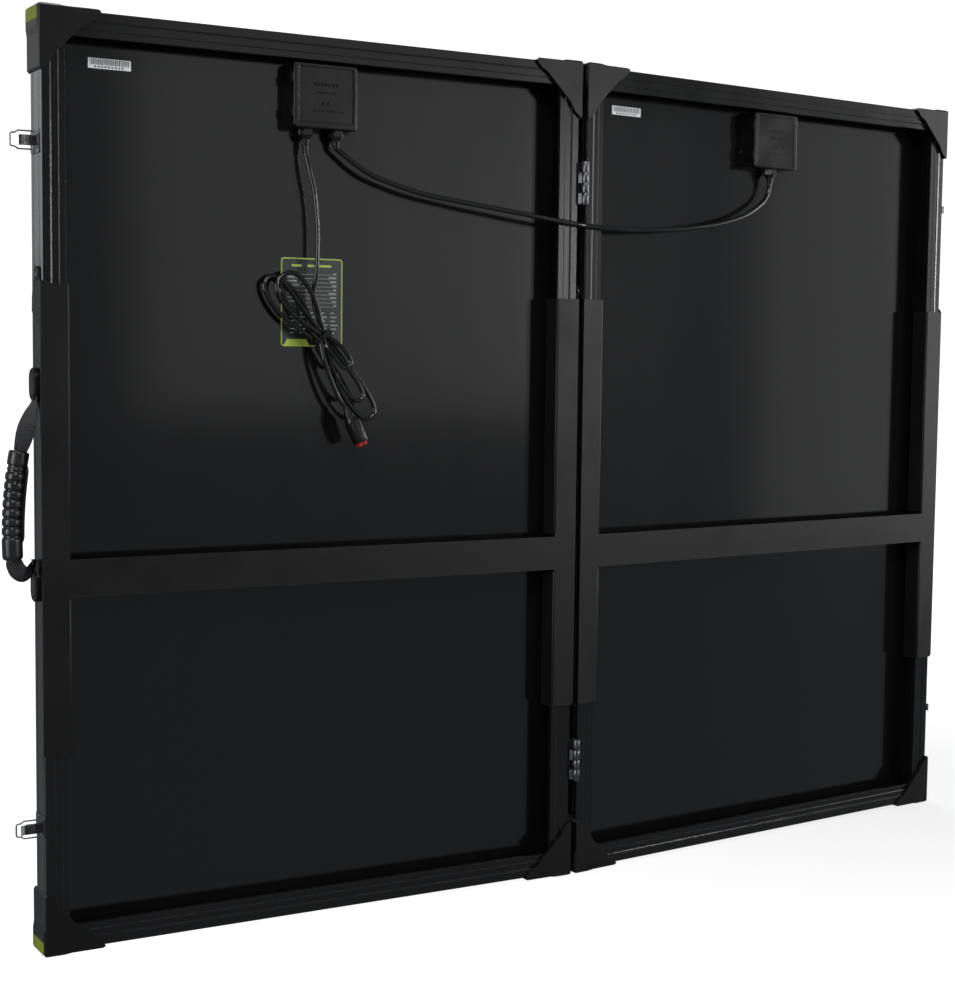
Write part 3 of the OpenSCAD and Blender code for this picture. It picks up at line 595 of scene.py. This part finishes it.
LINK_ROUTE = [millimetres(*p) for p in (
    (-322, 17.5, 898), (-321.4, 17.3, 892.6), (-318.4, 16.8, 888), (-310, 15.6, 881.8), (-295, 14, 871.3),
    (-275, 12.5, 861.1), (-245, 10.4, 851.7), (-210, 8, 843.4), (-160, 3, 836.2), (-115, -0.8, 830.6),
    (-62, -3.4, 824.1), (-29, -3.6, 820.2), (0, -3.8, 817))]
LINK_ROUTE += [on_right(*p) for p in (
    (0, -3.8, 816.2), (22, -3.6, 815.3), (50, -3.4, 815), (84, -1.5, 815.5), (150, 1.5, 819.6),
    (190, 4, 824.4), (238, 8, 832.3), (285, 12, 845.5), (317, 15.5, 862.3), (326, 16.5, 870),
    (332.2, 17.2, 879.5), (334.4, 17.5, 889), (334.5, 17.5, 898))]


def link_cable():
    path = smooth_path(LINK_ROUTE, 4 * MM)
    made = Builder()
    made.tube(path, LINK_RADIUS, 20)
    cable = finish_piece(made.piece("link_lead"), "cable_jacket")
    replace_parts(cable, "link_cable")
    reliefs = [strain_relief("link_relief_left", LINK_ROUTE, LINK_RADIUS, "left_panel", 11 * MM),
               strain_relief("link_relief_right", LINK_ROUTE[::-1], LINK_RADIUS, "right_panel", 11 * MM)]
    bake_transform(cable)


output_cable()
link_cable()


# ---------- carried-over CAD pieces ----------
def node_slots():
    """The record's finish for each node."""
    found = {}
    for name, obj in nodes.items():
        if obj.data.materials and obj.data.materials[0]:
            found[name] = obj.data.materials[0].name.split(".")[0]
    return found


EDGE_RADII = {"rail": 0.35, "caps": 0.9, "accents": 0.25, "box_base": 0.5, "box_lid": 0.8, "gland": 0.3,
              "hinge_leaves": 0.3, "hinge_pins": 0.2, "kickstand_left": 0.5, "kickstand_right": 0.5,
              "pivots": 0.3, "latch": 0.3, "anchors": 0.7, "rivets": 0.1}


def dress_nodes():
    for name, slot in node_slots().items():
        obj = nodes[name]
        obj.data.materials.clear()
        obj.data.materials.append(shaders[slot].material)
        for key, radius in EDGE_RADII.items():
            if key in name and not obj.hide_render:
                round_edges(obj, radius * MM, 3 if radius > 0.4 else 2, weld=True)
                break


# ---------- handle ----------
STRAP_OFF = 2.0                                        # the strap's mid-plane in the anchors
STRAP_COLUMNS = 9
STRAP_SPAN = 0.02                                      # the width that the weave's coordinates cover
# the strap's stations: off the side face, height, width, twist of the width out of the depth
STRAP_ROUTE = [(STRAP_OFF, 619, 20, 0), (STRAP_OFF, 610, 20, 0), (STRAP_OFF, 601, 20, 0), (3.4, 595, 20, 12),
               (7.6, 584, 18, 38), (11, 573, 18.5, 62), (13, 564, 19, 74), (15.2, 556, 17, 80),
               (17.2, 549, 14.5, 82), (19, 542, 11, 82), (22.8, 520, 10.5, 80), (25.7, 490, 10.5, 80),
               (27.1, 457, 10.5, 80), (26.6, 440, 11, 80), (26, 434, 14, 80), (25, 428, 18, 78),
               (21.4, 420, 19.5, 70), (15, 415.5, 20, 62), (9.4, 419, 20, 48), (6.6, 427, 20, 24),
               (4.2, 431, 20, 8), (STRAP_OFF, 427, 20, 0), (STRAP_OFF, 421, 20, 0), (STRAP_OFF, 411, 20, 0),
               (STRAP_OFF, 403, 20, 0)]
ANCHOR_DEPTH = 24 * MM
ANCHOR_HEIGHTS = {"upper": 619 * MM, "lower": 403 * MM}


def strap_samples(step):
    """Points along the strap, and the width and twist at each."""
    knots = [Vector((p[0], 0, p[1])) for p in STRAP_ROUTE]
    traits = []
    for a, b, p, q in zip(knots, knots[1:], STRAP_ROUTE, STRAP_ROUTE[1:]):
        count = max(1, round((b - a).length / step))
        traits += [[p[j] + (q[j] - p[j]) * k / count for j in (2, 3)] for k in range(count)]
    return smooth_path(knots, step), traits + [list(STRAP_ROUTE[-1][2:])]


def handle_strap():
    """Woven strap from the upper anchor through the grip to the lower anchor."""
    route, traits = strap_samples(1.2)
    rings, travelled = [], []
    total, columns = 0.0, STRAP_COLUMNS
    for i, p in enumerate(route):
        tangent = (route[min(i + 1, len(route) - 1)] - route[max(i - 1, 0)]).normalized()
        normal = tangent.cross(Vector((0, 1, 0))).normalized()
        width, twist = traits[i]
        across = math.cos(math.radians(twist)) * Vector((0, 1, 0)) + math.sin(math.radians(twist)) * normal
        thick = tangent.cross(across)
        total += (p - route[i - 1]).length if i else 0
        travelled.append(total)
        centre = Vector((SIDE, ANCHOR_DEPTH, 0)) + Vector((-p.x, p.y, p.z)) * MM
        ring = []
        for face in (1, -1):
            for c in range(columns):
                s = (2 * c / (columns - 1) - 1) * face
                swell = 0.72 + 0.08 * math.cos(s * 3.0)
                offset = across * (s * width / 2) + thick * (face * swell * (1 - 0.55 * abs(s) ** 8))
                ring.append(centre + Vector((-offset.x, offset.y, offset.z)) * MM)
        rings.append(ring)
    made = Builder()
    made.skin(rings)
    obj = made.piece("handle_strap")
    layer = obj.data.uv_layers.new(name="UVMap")
    sides = len(rings[0])
    for loop in obj.data.loops:
        row, column = divmod(loop.vertex_index, sides)
        layer.data[loop.index].uv = ((column % columns) / (columns - 1) * STRAP_SPAN, travelled[row] * MM)
    finish_piece(obj, "webbing", smooth=70)
    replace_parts(obj, "handle_webbing")
    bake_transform(obj)


def anchor_windows():
    """Raised woven oval in the face of each anchor, inside its groove."""
    for which, height in ANCHOR_HEIGHTS.items():
        patch = Builder(Matrix.Translation((SIDE, ANCHOR_DEPTH, height)) @ Matrix.Scale(-1, 4, (1, 0, 0)))
        patch.skin([[(off * MM, p[0] * s, p[1] * s) for p in rounded(13 * MM, 25 * MM, 6.4 * MM, steps=8)]
                    for off, s in ((4.3, 1), (4.7, 1), (5.0, 0.97), (5.1, 0.9))])
        finish_piece(patch.piece(f"anchor_window_{which}"), "weave_patch", "left_panel")


GRIP_ARC = 480.0                                       # radius of the grip's centre line
GRIP_CENTRE = (-452.9, 457.2)                          # off the side face, height
RIB_PITCH = 1.165                                      # in degrees along the arc
RIBS = [(0.1 + RIB_PITCH * i, 1.13 + RIB_PITCH * i) for i in range(7)]
COLLARS = [(-2.95, -0.15, 11), (8.35, 8.7, 10), (9.0, 10.85, 11)]      # from, to, radius
GROOVE_RADIUS, RIB_RADIUS = 9.3, 10.9


def grip_radius(angle):
    """Outer radius of the grip at an angle along its arc, in millimetres."""
    for low, high in RIBS:
        if low <= angle <= high:
            across = (angle - low) / (high - low) * 2 - 1
            return GROOVE_RADIUS + (RIB_RADIUS - GROOVE_RADIUS) * math.sqrt(max(0, 1 - abs(across) ** 3.2))
    for low, high, top in COLLARS:
        if low <= angle <= high:
            across = (angle - low) / (high - low) * 2 - 1
            return GROOVE_RADIUS + (top - GROOVE_RADIUS) * math.sqrt(max(0, 1 - abs(across) ** 8))
    return GROOVE_RADIUS


def on_grip_arc(angle):
    """The grip's centre line at an angle, and the direction outward from the arc's centre there."""
    a = math.radians(angle)
    out = Vector((-math.cos(a), 0, math.sin(a)))
    centre = Vector((SIDE, ANCHOR_DEPTH, 0)) + Vector((-GRIP_CENTRE[0], 0, GRIP_CENTRE[1])) * MM
    return centre + out * GRIP_ARC * MM, out


def handle_grip():
    """Curved rubber sleeve with rounded ribs and two collars, and a spine along the inside of its curve."""
    made = Builder()
    stations = [-3 + 13.9 * i / 278 for i in range(279)]
    profile = [(a, grip_radius(a)) for a in stations]
    profile = [(-2.97, 6.3), (-3.0, 7.6)] + profile + [(10.9, 7.6), (10.87, 6.3)]
    rings = []
    for angle, radius in profile:
        centre, out = on_grip_arc(angle)
        rings.append([centre + radius * MM * (math.cos(b) * out + math.sin(b) * Vector((0, 1, 0)))
                      for b in (2 * math.pi * j / 40 for j in range(40))])
    made.skin(rings)
    sleeve = finish_piece(made.piece("grip_sleeve"), "grip_rubber", "handle", smooth=60)
    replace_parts(sleeve, "handle_grip")

    spine = Builder()
    rings = []
    ends = ((-0.9, 0.3), (-0.7, 0.6), (-0.4, 0.85)), ((8.7, 0.85), (9.0, 0.6), (9.2, 0.3))
    for angle, share in (*ends[0], *((0.4 * k, 1) for k in range(21)), *ends[1]):
        centre, out = on_grip_arc(angle)
        rings.append([centre + out * (p[0] * share - 10.6 * MM) + Vector((0, 1, 0)) * p[1] * share
                      for p in rounded(3.2 * MM, 12 * MM, 1.3 * MM)])
    spine.skin(rings)
    finish_piece(spine.piece("grip_spine"), "grip_rubber", "handle", smooth=60)


# ---------- latches ----------
LATCH_OFF, LATCH_DEPTH = 3.2, 5.0                      # lever pivot, off the side face and in depth
BAIL_ARM = 4.0                                         # from the lever's pivot to the bail's
BAIL_RADIUS, BAIL_CORNER = 0.9 * MM, 2.2 * MM
BAIL_OUTLINE = [(0, 9.4), (15.8, 9.5), (18.2, 7.2), (23.6, 6.8), (23.6, -6.8), (18.2, -7.2), (15.8, -9.5),
                (0, -9.4)]
LEVER_REACH = 23.5                                     # from the lever's pivot to its tip
LEVER_HALF, TIP_HALF = 5.4 * MM, 5.6 * MM              # half widths of the arm and of the plated tip
# sections of the arm and the tip: distance from the pivot or back from the tip's end, and depth
ARM_ROOT_BACK = [(-1.7, -0.6), (-1.2, -1.5), (0, -1.9), (1.6, -1.6)]
ARM_END = [(-8.2, -1.6), (-7.2, -2.2), (-6.2, -2.0), (-5.7, -0.9), (-5.7, 1.2), (-7, 1.6)]
ARM_ROOT_FRONT = [(1.6, 1.6), (0, 1.9), (-1.2, 1.5), (-1.7, 0.6)]
TIP_FLARE = [(-7.1, 0.5), (-5.9, -0.6), (-4.6, -1.4), (-2.2, -2.5), (0, -3.9), (0.2, -3.3), (-1.9, -1.7),
             (-4.4, -0.4), (-6.6, 1.0)]


def bail_wire(which, place):
    wire = Builder(place)
    start = LATCH_OFF + BAIL_ARM
    corners = [millimetres(start + x, 0, z) for x, z in BAIL_OUTLINE]
    wire.tube(rounded_path(corners, BAIL_CORNER), BAIL_RADIUS, 14, closed=True)
    bail = finish_piece(wire.piece(f"bail_wire_{which}"), "wire", f"{which}_bail")
    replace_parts(bail, f"latch_bail_{which}")


def lever_arm(which, place):
    """Painted lever with three ridges for the thumb, and its plated, flared tip."""
    arm = Builder(place)
    tip = LATCH_OFF + LEVER_REACH
    section = [(LATCH_OFF + x, y) for x, y in ARM_ROOT_BACK] + [(tip + x, y) for x, y in ARM_END]
    section += [(LATCH_OFF + x, y) for x, y in ARM_ROOT_FRONT]
    arm.prism([(x * MM, y * MM) for x, y in section], -LEVER_HALF, LEVER_HALF, axis=2)
    for k in range(3):
        x = tip - 15 + 2.4 * k
        arm.box(millimetres(x, -2.0, -4), millimetres(x + 1.1, -1.5, 4))
    body = f"{which}_lever"
    lever = finish_piece(arm.piece(f"lever_arm_{which}"), "lever_paint", body, bevel=0.35 * MM)
    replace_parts(lever, f"latch_lever_{which}")

    tab = Builder(place)
    tab.prism([((tip + x) * MM, y * MM) for x, y in TIP_FLARE], -TIP_HALF, TIP_HALF, axis=2)
    finish_piece(tab.piece(f"lever_tip_{which}"), "chrome", body, bevel=0.2 * MM)


def latches():
    for which, height in LATCH_HEIGHTS.items():
        place = Matrix.Translation((SIDE, LATCH_DEPTH * MM, height)) @ Matrix.Scale(-1, 4, (1, 0, 0))
        bail_wire(which, place)
        lever_arm(which, place)


# ---------- labels and marks ----------
PRINT = 0.05 * MM                                      # the printed border stands this far proud
FINE_PRINT = 0.04 * MM
LABEL_THICKNESS = 0.15 * MM                            # of the white labels


def plate(builder, width, height, radius, centre, back, thickness):
    builder.prism(rounded(width, height, radius, centre, 3), back - thickness, back)


def rating_border(low, high, centre, face):
    """Lime border of the label, its two foot panels and three plain bars at its head."""
    width, height = high.x - low.x, high.z - low.z
    border = Builder()
    border.frame_ring(rounded(width - 0.6 * MM, height - 0.6 * MM, 3.8 * MM, centre),
                      rounded(width - 3.4 * MM, height - 3.4 * MM, 2.6 * MM, centre), face - PRINT, face)
    base, rise, slope = low.z + 1.7 * MM, 7 * MM, 4 * MM
    for side, reach in ((1, 32 * MM), (-1, 17 * MM)):
        start = low.x + slope if side == 1 else high.x - slope
        border.prism([(start, base), (start + side * slope, base + rise),
                      (start + side * (reach - slope), base + rise), (start + side * reach, base)],
                     face - PRINT, face)
    for k, bar in enumerate((13, 9, 16)):
        place = (low.x + (20 + 18 * k) * MM, high.z - 9 * MM)
        plate(border, bar * MM, 2.6 * MM, 0.6 * MM, place, face, PRINT)
    finish_piece(border.piece("rating_label_border"), "label_lime", "left_panel")


def rating_label():
    low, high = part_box("rating_label")
    face = low.y
    centre = ((low.x + high.x) / 2, (low.z + high.z) / 2)
    rating_border(low, high, centre, face)

    rows = Builder()
    margin, row_pitch = 8 * MM, 4.6
    for k in range(9):
        z = high.z - (19 + row_pitch * k) * MM
        plate(rows, 62 * MM, 0.35 * MM, 0.1 * MM, (centre[0], z), face, FINE_PRINT)
        left, right = (6 + 3 * (k * 5 % 4)) * MM, (4 + 2 * (k * 3 % 4)) * MM
        above = z + 1.6 * MM
        plate(rows, left, 1.3 * MM, 0.3 * MM, (low.x + margin + left / 2, above), face, FINE_PRINT)
        plate(rows, right, 1.3 * MM, 0.3 * MM, (high.x - margin - right / 2, above), face, FINE_PRINT)
    for k in range(6):
        z = high.z - (63 + row_pitch * k) * MM
        for j in range(5):
            step = (7 + (k * 3 + j * 5) % 5) * MM
            place = (low.x + (10 + 13 * j) * MM + step / 2, z)
            plate(rows, step - 2 * MM, 1.1 * MM, 0.3 * MM, place, face, FINE_PRINT)
    finish_piece(rows.piece("rating_label_rows"), "label_grey", "left_panel")


def serial_marks(side):
    """Plain bars and dashes on the white label, worked out by a rule."""
    place = TO_RIGHT if side == "right" else Matrix.Identity(4)
    start = millimetres(65, 0, 961.5) if side == "right" else millimetres(-610, 0, 958)
    back = SHEET_BACK - LABEL_THICKNESS
    front = back - PRINT
    bars = Builder(place)
    x = 3.0
    i = 0
    while x < 44.5:
        width = 0.45 + 0.35 * ((i * 7) % 3)
        bars.box((start.x + x * MM, front, start.z + 4 * MM),
                 (start.x + (x + width) * MM, back, start.z + 10 * MM))
        x += width + 0.5 + 0.3 * ((i * 5) % 3)
        i += 1
    for k in range(9):
        x = 7 + 3.8 * k
        bars.box((start.x + x * MM, front, start.z + 1.2 * MM),
                 (start.x + (x + 2.2) * MM, back, start.z + 2.8 * MM))
    finish_piece(bars.piece(f"{side}_serial_bars"), "label_dark", f"{side}_panel")


LID_FACE, LID_FLOOR = 6 * MM, 7.4 * MM                   # rim and recess of a box lid, in depth
LID_WIDTH, LID_HEIGHT, LID_FILLET = 79.5 * MM, 73.4 * MM, 1.8 * MM
LID_CENTRES = {"left": millimetres(-339.5, 0, 946.5), "right": millimetres(334.5, 0, 946.5)}
# the recess's wall, from the rim to the floor: inset in millimetres and depth
RECESS = ((5.1, LID_FACE), (5.4, LID_FACE), (5.6, LID_FACE + 0.1 * MM), (5.9, LID_FLOOR - 0.1 * MM),
          (6.2, LID_FLOOR), (6.6, LID_FLOOR))
CLIP_OUT, CLIP_WIDTH = 40.4 * MM, 2.6 * MM             # snap clips beside the lid


def box_lid(side):
    """Moulded lid with a filleted rim, a shallow recess and four ribbed snap clips."""
    place = TO_RIGHT if side == "right" else Matrix.Identity(4)
    mirrored = 1 if side == "left" else -1
    cx, cz = LID_CENTRES[side].x, LID_CENTRES[side].z

    def ring(inset, depth, radius, shift=(0, 0)):
        middle = (cx + shift[0], cz + shift[1])
        outline = rounded(LID_WIDTH - 2 * inset, LID_HEIGHT - 2 * inset, radius, middle, 6)
        return [(x, depth, z) for x, z in outline]

    lid = Builder(place)
    rings = [ring(0.4 * MM, 10.5 * MM, 3.6 * MM), ring(0, 10.1 * MM, 4 * MM)]
    for k in range(5):
        a = math.radians(22.5 * k)
        inset = LID_FILLET * (1 - math.cos(a))
        rings.append(ring(inset, LID_FACE + LID_FILLET * (1 - math.sin(a)), 4 * MM - inset))
    rings.append(ring(LID_FILLET + 0.3 * MM, LID_FACE, 2 * MM))
    shift = (0.25 * MM * mirrored, 1.25 * MM)
    for inset, depth in RECESS:
        rings.append(ring(inset * MM, depth, 2.2 * MM, shift))
    lid.skin(rings)
    for sx in (-1, 1):
        for z in (-19, 19):
            low_x = cx + sx * CLIP_OUT - CLIP_WIDTH / 2
            lid.box((low_x, 8 * MM, cz + (z - 5) * MM), (low_x + CLIP_WIDTH, 18 * MM, cz + (z + 5) * MM))
            for k in (-1, 0, 1):
                lid.box((low_x + 0.2 * MM, 7.5 * MM, cz + (z + 3 * k - 0.5) * MM),
                        (low_x + 2.4 * MM, 8.2 * MM, cz + (z + 3 * k + 0.5) * MM))
    piece = finish_piece(lid.piece(f"{side}_lid"), "box_plastic", f"{side}_panel", smooth=35)
    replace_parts(piece, f"{side}_box_lid")


def lid_marks(side):
    """Low raised dashes on the floor of the lid's recess."""
    place = TO_RIGHT if side == "right" else Matrix.Identity(4)
    centre = LID_CENTRES[side]
    marks = Builder(place)

    def dash(x, z, width, height):
        place = (centre.x + x * MM, centre.z + z * MM)
        outline = rounded(width * MM, height * MM, min(width, height) * 0.3 * MM, place, 2)
        marks.prism(outline, LID_FLOOR - 0.25 * MM, LID_FLOOR + 0.1 * MM)
    for k in range(7):
        dash(-13.5 + 4.6 * k, 13, 2.6 + 0.8 * (k % 2), 3.6)
    for k in range(6):
        dash(-9.5 + 4 * k, 4, 2.2 + 0.6 * (k % 2), 2.4)
    for x in (-3.2, 3.2):
        dash(x, -8, 2.2, 4.2)
    for k in range(6):
        dash(-14 + 5.2 * k, -16.5, 3 - 0.8 * (k % 2), 1.6)
    dash(20, -16.5, 6, 0.8)
    finish_piece(marks.piece(f"{side}_lid_marks"), "mark_black", f"{side}_panel")


# ---------- floor and light ----------
FLOOR_REACH = 40.0                                     # half the floor's side, in metres
FLOOR_GREY = 0.12
FLOOR_SHADOW_CENTRE = (0.75, 0.25, 0)                          # the floor glows least here, under the panels: the centre of a painted soft shadow
SHADOWED_GLOW_NEAR, WHITE_GLOW_FAR = (0.2, 0.78), (1.7, 1.15)         # distance from there, and the glow: dimmed near as a painted shadow, white far off
WORLD_LIGHT, WORLD_SEEN = 0.23, 1.1                    # strength as a light, and as the camera sees it
AIM = (0, 0, 0.55)                                     # most lights point at the middle of the case


def area_light(name, place, target, size, energy, colour=(1, 1, 1)):
    light = bpy.data.lights.new(name, "AREA")
    light.shape = "RECTANGLE"
    light.size, light.size_y = size
    light.energy = energy
    light.color = colour
    obj = bpy.data.objects.new(name, light)
    obj.location = place
    obj.rotation_euler = (Vector(target) - Vector(place)).to_track_quat("-Z", "Y").to_euler()
    bpy.context.scene.collection.objects.link(obj)
    return obj


def add_stage():
    floor = Builder()
    floor.box((-FLOOR_REACH, -FLOOR_REACH, -0.02), (FLOOR_REACH, FLOOR_REACH, -0.0006))
    obj = floor.piece("floor")
    material = bpy.data.materials.new("pale_floor")
    material.use_nodes = True
    bsdf = material.node_tree.nodes["Principled BSDF"]
    bsdf.inputs["Base Color"].default_value = (FLOOR_GREY, FLOOR_GREY, FLOOR_GREY, 1)
    bsdf.inputs["Roughness"].default_value = 0.9
    bsdf.inputs["Specular IOR Level"].default_value = 0.1
    bsdf.inputs["Emission Color"].default_value = (1, 1, 1, 1)
    tree = material.node_tree
    coords = tree.nodes.new("ShaderNodeTexCoord")
    distance = tree.nodes.new("ShaderNodeVectorMath")
    distance.operation = "DISTANCE"
    distance.inputs[1].default_value = FLOOR_SHADOW_CENTRE
    # floor glow dimmed near the panels as a painted soft shadow, rising to white far off
    shadow_fade = tree.nodes.new("ShaderNodeMapRange")
    for end, (reach, glow) in (("Min", SHADOWED_GLOW_NEAR), ("Max", WHITE_GLOW_FAR)):
        shadow_fade.inputs["From " + end].default_value = reach
        shadow_fade.inputs["To " + end].default_value = glow
    tree.links.new(coords.outputs["Object"], distance.inputs[0])
    tree.links.new(distance.outputs["Value"], shadow_fade.inputs["Value"])
    tree.links.new(shadow_fade.outputs["Result"], bsdf.inputs["Emission Strength"])
    obj.data.materials.append(material)
    obj.visible_diffuse = False
    obj.visible_glossy = False

    world = bpy.data.worlds.new("studio")
    world.use_nodes = True
    tree = world.node_tree
    dim = tree.nodes["Background"]
    dim.inputs["Color"].default_value = (0.9, 0.95, 1, 1)
    dim.inputs["Strength"].default_value = WORLD_LIGHT
    white = tree.nodes.new("ShaderNodeBackground")
    white.inputs["Color"].default_value = (1, 1, 1, 1)
    white.inputs["Strength"].default_value = WORLD_SEEN
    path = tree.nodes.new("ShaderNodeLightPath")
    mix = tree.nodes.new("ShaderNodeMixShader")
    tree.links.new(path.outputs["Is Camera Ray"], mix.inputs["Fac"])
    tree.links.new(dim.outputs["Background"], mix.inputs[1])
    tree.links.new(white.outputs["Background"], mix.inputs[2])
    tree.links.new(mix.outputs["Shader"], tree.nodes["World Output"].inputs["Surface"])
    bpy.context.scene.world = world
    bpy.context.scene.view_settings.view_transform = "Standard"

    area_light("key", (3.7, -4.75, 1.15), AIM, (0.32, 1.2), 75)
    area_light("right_softbox", (3.15, -0.65, 1.1), (0.34, 0, 0.6), (1.5, 2.0), 42)
    area_light("side_card", (2.8, -1.54, 1.1), (0.34, 0, 0.6), (0.6, 2.0), 1.5)
    area_light("grey_card", (2.0, -4.0, 1.5), AIM, (2.2, 2.2), 7)
    area_light("front_fill", (-1.5, -3.5, 4), AIM, (1.6, 1.6), 100)
    area_light("left_softbox", (-3.9, -0.9, 0.9), (-0.6, 0, 0.5), (1.4, 2.0), 58, (0.92, 0.95, 1))
    area_light("cell_side", (1.5, 4, 3), AIM, (1.6, 2.0), 110)
    area_light("high_back", (0.5, 2.5, 4), AIM, (1.5, 1.5), 60)
    area_light("back_left", (-2.2, 3.5, 1.5), AIM, (1.2, 1.2), 4)


dress_nodes()
handle_strap()
anchor_windows()
handle_grip()
latches()
rating_label()
for panel in ("left", "right"):
    serial_marks(panel)
    box_lid(panel)
    lid_marks(panel)
add_stage()
